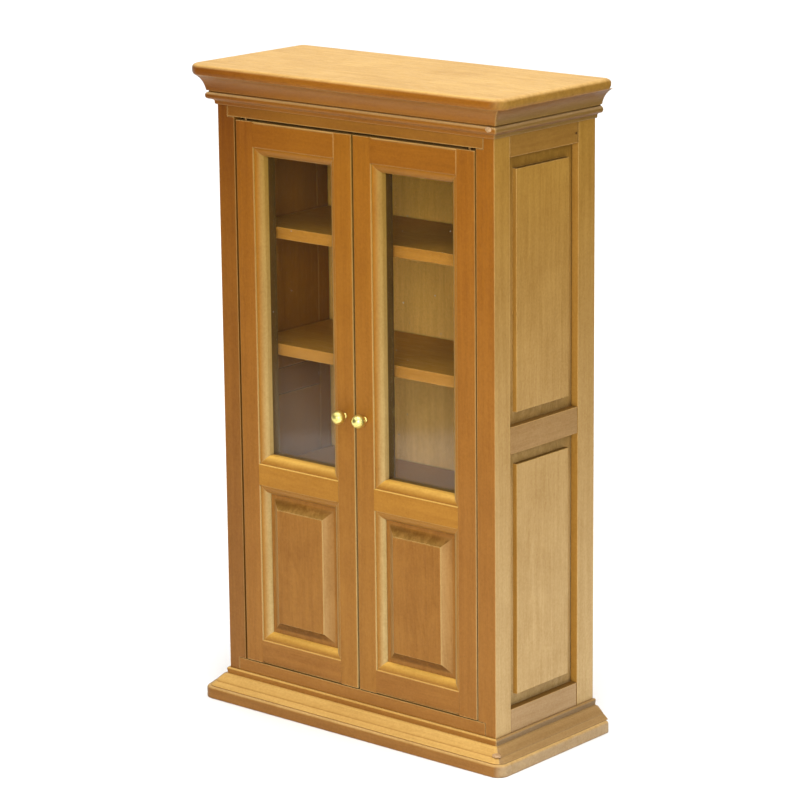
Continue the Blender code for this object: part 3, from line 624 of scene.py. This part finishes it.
def cornice_profile():
    """Cove, quirk, bead, quirk and fillet, from the top board down."""
    top = TOP_BOARD[0].z + 0.12 * MM
    bottom = CORNICE[0].z
    skin = 0.02 * MM
    head = TOP_BOARD[0].z - 4.2 * MM
    cove = curve((5.15 * MM, top), (2.75 * MM, top - 1.35 * MM), (2.15 * MM, head), 14)
    quirk = [(1.72 * MM, head - 0.06 * MM), (1.62 * MM, head - 0.42 * MM)]
    bead = arc((1.50 * MM, head - 1.40 * MM), BEAD_RADIUS, 95, -70, 14)
    foot = curve((1.30 * MM, head - 2.45 * MM), (0.75 * MM, head - 2.55 * MM),
                 (0.62 * MM, head - 3.0 * MM), 4)
    foot += [(0.62 * MM, bottom + 0.35 * MM), (0.45 * MM, bottom)]
    return cove + quirk + bead + foot + [(skin, bottom), (skin, top)]


def plinth_profile():
    """Slope with a fine groove, deep groove and bead, from the base board up."""
    bottom = PLINTH[0].z
    top = PLINTH[1].z
    skin = 0.02 * MM
    edge = BASE_PROJECTION - 0.75 * MM
    slope = [(edge, bottom - 0.1 * MM)]
    slope += curve((edge, bottom + 0.05 * MM), (3.9 * MM, bottom + 0.8 * MM),
                   (3.45 * MM, bottom + 1.15 * MM), 4)
    slope += [(3.35 * MM, bottom + 1.12 * MM), (3.25 * MM, bottom + 1.32 * MM)]
    slope += curve((3.1 * MM, bottom + 1.5 * MM), (2.3 * MM, bottom + 2.4 * MM),
                   (1.65 * MM, bottom + 3.0 * MM), 8)
    groove = [(1.25 * MM, bottom + 3.15 * MM), (0.75 * MM, bottom + 3.25 * MM),
              (0.70 * MM, bottom + 3.45 * MM)]
    bead = arc((0.35 * MM, top - 0.70 * MM), 0.55 * MM, -30, 80, 8)
    return [(skin, bottom)] + slope + groove + bead + [(skin, top - 0.2 * MM)]


# ---------------------------------------------------------------- doors and panels
def sticking(projected):
    """The moulded inner edge of a door member: arris, quirk, ovolo and inner edge.

    Each point is (projection beyond the flat, depth behind the door's face).
    """
    wide, deep = STICKING_WIDTH, STICKING_DEPTH
    points = [(-QUIET_JOINT, 0.0), (-0.06 * MM, 0.03 * MM), (0.10 * MM, 0.16 * MM), (0.14 * MM, 0.42 * MM)]
    points += curve((0.42 * MM, 0.40 * MM), (1.75 * MM, 0.62 * MM), (wide - 0.12 * MM, deep - 0.05 * MM), 10)
    points += [(wide, deep + 0.15 * MM), (wide, RETURN_START), (wide, RETURN_END)]
    if projected:
        return points
    return [(min(w, 0.0), depth if w < 0 else max(depth, HAIRLINE)) for w, depth in points]


def door_stile(flat, thickness, bottom, top, openings):
    """A door stile, its outer edge at x = 0 and its moulded edge towards +X."""
    r = DOOR_ARRIS
    outer = [(0.0, thickness)] + [(r - x, r - y) for x, y in arc((0, 0), r, 0, 90, 6)] + [(2 * r, 0.0)]

    def ring(z, projected, mitre):
        points = [Vector((x, depth, z)) for x, depth in outer]
        for w, depth in sticking(projected):
            points.append(Vector((flat + w, depth, z + mitre * max(w, 0.0))))
        return points

    rings = [ring(bottom, False, 0)]
    for low, high in openings:
        rings += [ring(low, False, 0), ring(low, True, 1), ring(high, True, -1), ring(high, False, 0)]
    rings.append(ring(top, False, 0))
    return loft(rings)


def door_rail(start, end, low, high, thickness, moulded_below, moulded_above, arrises):
    """A door rail along X between the stiles, moulded on the edges that face an opening.

    arrises are the widths of the eased edges at its two ends.
    """

    def ring(x, projected, mitre, sunk):
        edges = []
        for edge_z, moulded, outwards in ((low, moulded_below, -1), (high, moulded_above, 1)):
            if moulded:
                profile = sticking(projected)
            else:
                r = DOOR_ARRIS
                profile = [(-2 * r, 0.0)] + [(x2 - r, r - y2) for y2, x2 in arc((0, 0), r, 90, 0, 6)]
                profile.append((0.0, thickness))
            edge = [Vector((x + mitre * max(w, 0.0), max(depth, sunk), edge_z + outwards * w))
                    for w, depth in profile]
            edges.append(edge if outwards > 0 else edge[::-1])
        return edges[0] + edges[1]

    near, far = start + arrises[0], end - arrises[1]
    return loft([ring(start, False, 0, arrises[0]), ring(near, False, 0, 0.0), ring(near, True, 1, 0.0),
                 ring(near + QUIET_JOINT, True, 1, 0.0), ring(far - QUIET_JOINT, True, -1, 0.0),
                 ring(far, True, -1, 0.0), ring(far, False, 0, 0.0), ring(end, False, 0, arrises[1])])


def mark_faces(bm, openings, flat, width, shown_joints):
    """Give a door member's faces their stains and painted light: flat 0, moulding 1 with painted light,
    deep inner face 2 with painted shade, flush joint 3.

    shown_joints are the places along X where the top rail's joint is open enough to show.
    """
    for face in bm.faces:
        centre = face.calc_center_median()
        in_width = flat + TINY < centre.x < width - flat - TINY
        in_height = any(low + TINY < centre.z < high - TINY for low, high in openings)
        joints = [x for x in (flat, width - flat) if abs(centre.x - x) < QUIET_JOINT]
        shown = centre.z > openings[1][1] and any(x in shown_joints for x in joints)
        if in_width and in_height:
            face.material_index = 2 if centre.y > RETURN_START else 1
        elif joints and not in_height and not shown:
            face.material_index = 3


def raised_panel(width, height, steps):
    """A raised and fielded panel in the XZ plane, centred on the origin and facing -Y."""
    rings = []
    for inset, depth in steps:
        x = width / 2 - inset
        z = height / 2 - inset
        rings.append([Vector((-x, depth, -z)), Vector((x, depth, -z)),
                      Vector((x, depth, z)), Vector((-x, depth, z))])
    return loft(rings)


def panel_steps(back, margin_depth, bevel_start, field_start, field_depth, step):
    """Back edge, flat margin, bevel, worn step and field of a raised panel."""
    soft = 0.16 * MM
    return [(0.0, back), (0.0, margin_depth), (bevel_start - soft, margin_depth),
            (bevel_start, margin_depth - 0.04 * MM),
            (field_start - 0.03 * MM, field_depth + step), (field_start, field_depth + step - 0.02 * MM),
            (field_start + 0.02 * MM, field_depth + soft),
            (field_start + 0.07 * MM, field_depth + 0.05 * MM), (field_start + soft, field_depth),
            (field_start + 4 * soft, field_depth)]


def add_door(side, word):
    """The finer frame, panel, pane and knob of one door."""
    stem = word + "_door_"
    body = word + "_door"
    hinge_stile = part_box(stem + "hinge_stile")
    meeting_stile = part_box(stem + "meeting_stile")
    rails = {part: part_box(stem + part + "_rail") for part in ("bottom", "lock", "top")}
    outer_x = hinge_stile[0].x if side < 0 else hinge_stile[1].x
    inner_x = meeting_stile[1].x if side < 0 else meeting_stile[0].x
    width = abs(inner_x - outer_x)
    thickness = hinge_stile[1].y - hinge_stile[0].y
    flat = hinge_stile[1].x - hinge_stile[0].x - STICKING_WIDTH
    bottom, top = hinge_stile[0].z, hinge_stile[1].z
    openings = [(rails["bottom"][1].z - STICKING_WIDTH, rails["lock"][0].z + STICKING_WIDTH),
                (rails["lock"][1].z - STICKING_WIDTH, rails["top"][0].z + STICKING_WIDTH)]

    def add(part, bm, material, mirrored=False):
        for vert in bm.verts:
            x = width - vert.co.x if mirrored else vert.co.x
            vert.co.x = outer_x - side * x
            vert.co.y += hinge_stile[0].y
        add_piece("shaped_" + stem + part, bm, material, body, [stem + part])

    def frame_stains_and_painted_light(part, grain):
        shade = DOOR_SHADES.get(part, PLAIN_SHADE)
        flat_stain = wood(stem + part, grain, shade)
        # The moulding's material is a lit copy of the member's wood: painted light.
        moulding = wood(stem + part + "_sticking", grain, STICKING_LIT_SHADE, wear=0.3, recess=0.75,
                        painted_top_tone=STICKING_LIT_TOP_TONE)
        # The deep inner faces get painted shade.
        inner = wood(stem + part + "_return", grain, RETURN_PAINTED_SHADE, wear=0.0)
        return [flat_stain, moulding, inner, wood(stem + part, grain, shade, wear=0.0)]

    for part, mirrored in (("hinge_stile", False), ("meeting_stile", True)):
        bm = door_stile(flat, thickness, bottom, top, openings)
        mark_faces(bm, openings, flat, width, [flat] if mirrored == (side < 0) else [])
        add(part, bm, frame_stains_and_painted_light(part, "z"), mirrored)
    start, end = flat - HAIRLINE, width - flat + HAIRLINE
    for part, low, high, below, above in (
            ("bottom", bottom, openings[0][0], False, True),
            ("lock", openings[0][1], openings[1][0], True, True),
            ("top", openings[1][1], top, True, False)):
        arris = JOINT_ARRIS if part == "top" else 0.0
        arrises = (0.0, arris) if side < 0 else (arris, 0.0)
        bm = door_rail(start, end, low, high, thickness, below, above, arrises)
        mark_faces(bm, openings, flat, width, [width - flat if side < 0 else flat])
        add(part + "_rail", bm, frame_stains_and_painted_light(part + "_rail", "x"))

    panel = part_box(stem + "panel")
    low, high = openings[0]
    tongue = (panel[1].x - panel[0].x - (width - 2 * flat)) / 2
    steps = panel_steps(back=3.0 * MM, margin_depth=2.05 * MM, bevel_start=3.6 * MM + tongue,
                        field_start=6.1 * MM + tongue, field_depth=0.1 * MM, step=0.3 * MM)
    bm = raised_panel(panel[1].x - panel[0].x, panel[1].z - panel[0].z, steps)
    for vert in bm.verts:
        vert.co += Vector((width / 2, 0, (low + high) / 2))
    add("panel", bm, wood(stem + "panel", "z", PANEL_SHADE, blotch=0.8, figure=0.5,
                          end_shade=PANEL_END_SHADE))

    add_pane(stem + "glass", body)
    add_knob(word + "_knob", body)


def add_pane(node, body):
    """A thin pane with eased edges."""
    low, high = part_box(node)
    ease = 0.1 * MM
    rings = []
    for inset, y in ((ease, low.y), (0.0, low.y + ease), (0.0, high.y - ease), (ease, high.y)):
        left, right = low.x + inset, high.x - inset
        bottom, top = low.z + inset, high.z - inset
        rings.append([Vector((left, y, bottom)), Vector((right, y, bottom)),
                      Vector((right, y, top)), Vector((left, y, top))])
    material = glazing(node, REFLECTION_VEIL_AMOUNTS[node])
    add_piece("shaped_" + node, loft(rings), material, body, [node])


def add_knob(node, body):
    """A turned ball knob with a collar and a waisted neck."""
    low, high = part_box(node)
    centre_x, centre_z = (low.x + high.x) / 2, (low.z + high.z) / 2
    ball = (high.x - low.x) / 2
    face = FRONT_Y
    centre = low.y + ball + KNOB_SETBACK
    profile = [(high.y, 0.5 * MM), (face, 0.5 * MM),
               (face - 0.04 * MM, 0.72 * MM), (face - 0.10 * MM, 0.80 * MM),
               (face - 0.25 * MM, 0.82 * MM), (face - 0.36 * MM, 0.76 * MM), (face - 0.45 * MM, 0.60 * MM),
               (face - 0.65 * MM, 0.46 * MM), (face - 0.95 * MM, 0.44 * MM)]
    profile += arc((centre, 0), ball, 22, 179, 24)
    rings = []
    for y, radius in profile:
        angles = [math.tau * i / KNOB_SEGMENTS for i in range(KNOB_SEGMENTS)]
        rings.append([Vector((centre_x + radius * math.cos(a), y, centre_z + radius * math.sin(a)))
                      for a in angles])
    add_piece("shaped_" + node, loft(rings), brass(node, KNOB_BRIGHT, KNOB_DULL, KNOB_GLOSS), body,
              [node])


def add_side_panels():
    """The raised panels of both sides."""
    for side, word in ((-1, "left"), (1, "right")):
        for level in ("lower", "upper"):
            node = f"side_{level}_panel_{word}"
            low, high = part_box(node)
            width, height = high.y - low.y, high.z - low.z
            tongue = 0.9 * MM
            steps = [(1.1 * MM, 4.2 * MM), (1.1 * MM, 3.3 * MM)]
            steps += panel_steps(back=3.3 * MM, margin_depth=2.3 * MM, bevel_start=tongue + 0.2 * MM,
                                 field_start=tongue + 3.3 * MM, field_depth=0.5 * MM, step=1.35 * MM)
            bm = raised_panel(width, height, steps)
            turn = Matrix.Rotation(side * math.pi / 2, 4, "Z")
            centre = Vector((side * HALF_BODY, (low.y + high.y) / 2, (low.z + high.z) / 2))
            bmesh.ops.transform(bm, matrix=Matrix.Translation(centre) @ turn, verts=bm.verts)
            material = wood(node, "z", blotch=0.8, figure=0.4, end_shade=PANEL_END_SHADE,
                            end_facing=SHALLOW_END_FACING, reach=PANEL_REACH, recessed=True)
            add_piece("shaped_" + node, bm, material, "cabinet", [node])


def filler(name):
    """Pale wood filler, rubbed with stain."""
    tree = Tree(name + "_filler")
    grit = tree.noise(tree.place(GRIT_SCALE, seeded_offset(name)), 3.0, 0.6)
    colour = tree.mix(tree.fit(grit, 0.35, 0.65), FILLER_TONE, FILLER_STAINED)
    tree.links.new(colour, tree.shader.inputs["Base Color"])
    tree.shader.inputs["Roughness"].default_value = 0.6
    tree.shader.inputs["Specular IOR Level"].default_value = 0.2
    tree.links.new(tree.bump(grit, 0.05 * MM), tree.shader.inputs["Normal"])
    return tree.material


def add_filler_lump(name, centre, size, seed):
    """A small rough lump of filler at a mitre."""
    chance = random.Random(seed)
    bm = bmesh.new()
    bmesh.ops.create_icosphere(bm, subdivisions=3, radius=1.0)
    for vert in bm.verts:
        swell = 1.0 + 0.22 * chance.uniform(-1, 1)
        vert.co = Vector(centre) + Vector(a * b for a, b in zip(vert.co * swell, size))
    bmesh.ops.smooth_vert(bm, verts=bm.verts, factor=0.5, use_axis_x=True, use_axis_y=True, use_axis_z=True)
    add_piece(name, bm, filler(name), "cabinet")


def add_marks():
    """Filler at the right-hand mitres, and the nail heads in the side frames."""
    bead_z = TOP_BOARD[0].z - 5.3 * MM
    corner = Vector((HALF_BODY, FRONT_Y, 0))
    add_filler_lump("filler_cornice", corner + Vector((0.2, -2.45, 0)) * MM + Vector((0, 0, bead_z)),
                    (1.0 * MM, 0.25 * MM, 0.7 * MM), 3)
    slope_z = PLINTH[0].z + 1.6 * MM
    add_filler_lump("filler_plinth", corner + Vector((2.4, -2.7, 0)) * MM + Vector((0, 0, slope_z)),
                    (1.3 * MM, 1.0 * MM, 0.55 * MM), 5)
    for side, word in ((-1, "left"), (1, "right")):
        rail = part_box("side_top_rail_" + word)
        centre = Vector((side * HALF_BODY, rail[1].y - NAIL_FROM_EDGE, TOP_BOARD[0].z - NAIL_BELOW_TOP))
        angles = [math.tau * i / NAIL_SEGMENTS for i in range(NAIL_SEGMENTS)]
        rings = []
        for radius, x in ((0.30 * MM, -0.4 * MM), (0.34 * MM, 0.0), (0.28 * MM, 0.04 * MM)):
            rings.append([centre + Vector((side * x, radius * math.cos(a), radius * math.sin(a)))
                          for a in angles])
        material = brass("nail_" + word, PIN_DULL, DARK_AND_SHADE_TONE, NAIL_GLOSS)
        add_piece("nail_head_" + word, loft(rings), material, "cabinet")


# ---------------------------------------------------------------- pieces kept from the frame
def finish_kept_nodes():
    """Ease the edges of the plain boards, and give each its wood."""
    looks = {}
    for word in ("left", "right"):
        looks["front_post_" + word] = ("z", LEFT_POST_PAINTED_SHADE if word == "left" else PLAIN_SHADE)
        looks["rear_post_" + word] = ("z", PLAIN_SHADE)
        for level in ("bottom", "middle", "top"):
            looks[f"side_{level}_rail_{word}"] = ("y", SIDE_RAIL_SHADE)
    looks["face_top_rail"] = ("x", FACE_RAIL_SHADE)
    looks["face_bottom_rail"] = ("x", PLAIN_SHADE)
    for level in ("lower", "middle", "upper"):
        looks["shelf_" + level] = ("x", SHELF_SHADE)
    looks["floor_board"] = ("x", INSIDE_SHADE)
    looks["ceiling_board"] = ("x", INSIDE_SHADE)
    looks["back_panel"] = ("z", PLAIN_SHADE)
    for name, (grain, shade) in looks.items():
        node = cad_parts[name]
        weld = node.modifiers.new("weld", "WELD")
        weld.merge_threshold = 0.005 * MM
        ease = node.modifiers.new("ease", "BEVEL")
        ease.width = SMALL_ARRIS
        ease.segments = 3
        ease.limit_method = "ANGLE"
        ease.angle_limit = math.radians(40)
        ease.harden_normals = True
        node.data.materials.clear()
        wood_and_painted_light = {"recessed": name.startswith(("rear_post", "side_"))}
        # Shelves and boards inside get painted shade on their tops in place of the painted top light.
        if name.startswith(("shelf_", "floor_", "ceiling_")):
            wood_and_painted_light["painted_top_tone"] = SHADED_SHELF_TOP_TONE
        if name == "back_panel":
            # The back panel's inner face is paler: partly its own colour, partly painted light.
            wood_and_painted_light.update(figure=0.0, forward_shade=BACK_SHADE)
        node.data.materials.append(wood(name, grain, shade, **wood_and_painted_light))
    for word in ("left", "right"):
        for end in ("bottom", "top"):
            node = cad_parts[f"{word}_pin_{end}"]
            node.data.materials.clear()
            node.data.materials.append(brass(node.name, PIN_BRIGHT, PIN_DULL, PIN_GLOSS))


# ---------------------------------------------------------------- stage
def add_floor():
    """A plain pale floor that runs past everything the camera sees."""
    bm = bmesh.new()
    bmesh.ops.create_grid(bm, x_segments=8, y_segments=8, size=FLOOR_SIZE)
    mesh = bpy.data.meshes.new("floor")
    bm.to_mesh(mesh)
    bm.free()
    floor = bpy.data.objects.new("floor", mesh)
    bpy.context.scene.collection.objects.link(floor)
    floor.location.z = -FLOOR_DROP
    tree = Tree("floor_paper")
    fibre = tree.noise(tree.place(PAPER_SCALE, (0, 0, 0)), 3.0, 0.5)
    tree.links.new(tree.mix(fibre, (0.955, 0.955, 0.955), (0.975, 0.975, 0.975)),
                   tree.shader.inputs["Base Color"])
    tree.shader.inputs["Roughness"].default_value = 0.9
    tree.shader.inputs["Specular IOR Level"].default_value = 0.1
    mesh.materials.append(tree.material)


def add_flag(name, azimuth, distance, width, height):
    """A dark card that stands upright beside the set, out of the picture.

    The varnish and the panes mirror it, except low down, where they mirror the pale floor.
    """
    az = math.radians(azimuth)
    outwards = Vector((math.sin(az), -math.cos(az), 0))
    along = Vector((math.cos(az), math.sin(az), 0)) * (width / 2)
    bm = bmesh.new()
    foot = outwards * distance
    corners = [foot - along, foot + along]
    corners += [corner + Vector((0, 0, height)) for corner in reversed(corners)]
    bm.faces.new([bm.verts.new(corner) for corner in corners])
    mesh = bpy.data.meshes.new(name)
    bm.to_mesh(mesh)
    bm.free()
    tree = Tree(name + "_card")
    fibre = tree.noise(tree.place(CARD_SCALE, (0, 0, 0)), 3.0, 0.5)
    colour = tree.mix(fibre, FLAG_TONE, tuple(0.8 * v for v in FLAG_TONE))
    tree.links.new(colour, tree.shader.inputs["Base Color"])
    tree.shader.inputs["Roughness"].default_value = 0.9
    mesh.materials.append(tree.material)
    flag = bpy.data.objects.new(name, mesh)
    flag.visible_camera = False
    bpy.context.scene.collection.objects.link(flag)


def add_softbox(name, azimuth, elevation, distance, size, power, colour):
    """A large square light aimed at the middle of the cabinet."""
    target = (Vector(CAD_BOX[0]) + Vector(CAD_BOX[1])) / 2
    az, el = math.radians(azimuth), math.radians(elevation)
    towards = Vector((math.sin(az) * math.cos(el), -math.cos(az) * math.cos(el), math.sin(el)))
    light = bpy.data.lights.new(name, "AREA")
    light.shape = "SQUARE"
    light.size = size
    light.energy = power
    light.color = colour
    lamp = bpy.data.objects.new(name, light)
    lamp.location = target + towards * distance
    lamp.rotation_euler = (-towards).to_track_quat("-Z", "Y").to_euler()
    lamp.visible_camera = False
    bpy.context.scene.collection.objects.link(lamp)


def add_light():
    """A bright white room with its softboxes and flags."""
    for flag in FLAGS:
        add_flag(*flag)
    world = bpy.data.worlds.new("studio")
    world.use_nodes = True
    nodes, links = world.node_tree.nodes, world.node_tree.links
    direction = nodes.new("ShaderNodeSeparateXYZ")
    links.new(nodes.new("ShaderNodeTexCoord").outputs["Generated"], direction.inputs[0])
    rise = nodes.new("ShaderNodeMath")
    rise.operation = "MULTIPLY"
    links.new(direction.outputs["Z"], rise.inputs[0])
    links.new(direction.outputs["Z"], rise.inputs[1])
    strength = nodes.new("ShaderNodeMath")
    strength.operation = "MULTIPLY_ADD"
    links.new(rise.outputs[0], strength.inputs[0])
    strength.inputs[1].default_value = ZENITH_STRENGTH
    strength.inputs[2].default_value = HORIZON_STRENGTH
    links.new(strength.outputs[0], nodes["Background"].inputs["Strength"])
    nodes["Background"].inputs["Color"].default_value = (1.0, 1.0, 1.0, 1.0)
    bpy.context.scene.world = world
    for softbox in SOFTBOXES:
        add_softbox(*softbox)
    bpy.context.scene.view_settings.view_transform = "Standard"


def add_camera():
    """The camera, a little above the cabinet and to the right of the doors."""
    az, el, roll = (math.radians(v) for v in (CAMERA_AZIMUTH, CAMERA_ELEVATION, CAMERA_ROLL))
    right = Vector((math.cos(az), math.sin(az), 0))
    forward = Vector((-math.sin(az) * math.cos(el), math.cos(az) * math.cos(el), -math.sin(el)))
    up = right.cross(forward)
    turned_right = right * math.cos(roll) + up * math.sin(roll)
    turned_up = up * math.cos(roll) - right * math.sin(roll)
    centre = (Vector(CAD_BOX[0]) + Vector(CAD_BOX[1])) / 2
    camera_data = bpy.data.cameras.new("camera")
    camera_data.lens = CAMERA_LENS
    camera_data.sensor_width = CAMERA_SENSOR
    camera = bpy.data.objects.new("camera", camera_data)
    axes = Matrix((turned_right, turned_up, -forward)).transposed().to_4x4()
    camera.matrix_world = Matrix.Translation(centre + CAMERA_AIM - forward * CAMERA_DISTANCE) @ axes
    bpy.context.scene.collection.objects.link(camera)
    bpy.context.scene.camera = camera


def main():
    add_boards()
    add_mitred_moulding("cornice", cornice_profile(), CORNICE_SHADES, cornice_plan)
    add_mitred_moulding("plinth", plinth_profile(), PLINTH_SHADES, plinth_plan)
    for side, word in ((-1, "left"), (1, "right")):
        add_door(side, word)
    add_side_panels()
    add_marks()
    finish_kept_nodes()
    add_floor()
    add_light()
    add_camera()


main()
